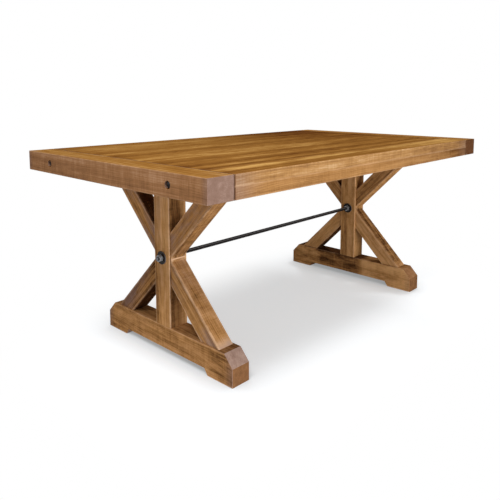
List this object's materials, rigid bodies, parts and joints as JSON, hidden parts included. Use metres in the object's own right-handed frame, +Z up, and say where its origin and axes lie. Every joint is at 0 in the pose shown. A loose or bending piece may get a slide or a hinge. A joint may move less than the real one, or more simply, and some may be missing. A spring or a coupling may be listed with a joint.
{
  "type": "trestle dining table",
  "caption": "Rectangular plank-top dining table with end boards, on trestles of post and diagonal braces joined by a tie rod.",
  "frame": {"origin": "on the floor, under the middle of the table top", "axes": "+X along the table's length, +Y across it, +Z up"},
  "size_m": [1.829, 1.067, 0.762],
  "materials": {
    "top_wood": "amber stain, satin varnish",
    "end_board_wood": "amber stain, satin varnish",
    "trestle_wood": "rough sawn, stained, wax",
    "dowel_wood": "plain beech",
    "black_iron": "matt black",
    "screw_steel": "blackened"
  },
  "bodies": {
    "root": {"top_board_1": "top_wood", "top_board_2": "top_wood", "top_board_3": "top_wood", "top_board_4": "top_wood", "top_board_5": "top_wood", "top_board_6": "top_wood", "top_board_7": "top_wood", "top_board_8": "top_wood", "side_rail_near": "top_wood", "side_rail_far": "top_wood", "end_rail_near": "top_wood", "end_rail_far": "top_wood", "end_board_near": "end_board_wood", "end_board_far": "end_board_wood", "foot_near": "trestle_wood", "post_near": "trestle_wood", "beam_near": "trestle_wood", "foot_far": "trestle_wood", "post_far": "trestle_wood", "beam_far": "trestle_wood", "brace_near_lower_left": "trestle_wood", "brace_near_lower_right": "trestle_wood", "brace_near_upper_left": "trestle_wood", "brace_near_upper_right": "trestle_wood", "brace_far_lower_left": "trestle_wood", "brace_far_lower_right": "trestle_wood", "brace_far_upper_left": "trestle_wood", "brace_far_upper_right": "trestle_wood", "brace_dowels": "dowel_wood", "tie_rod": "black_iron", "rod_washers": "black_iron", "rod_nuts": "black_iron", "end_board_screws": "screw_steel", "end_board_washers": "screw_steel", "beam_screws": "screw_steel", "beam_washers": "screw_steel"}
  },
  "joints": []
}
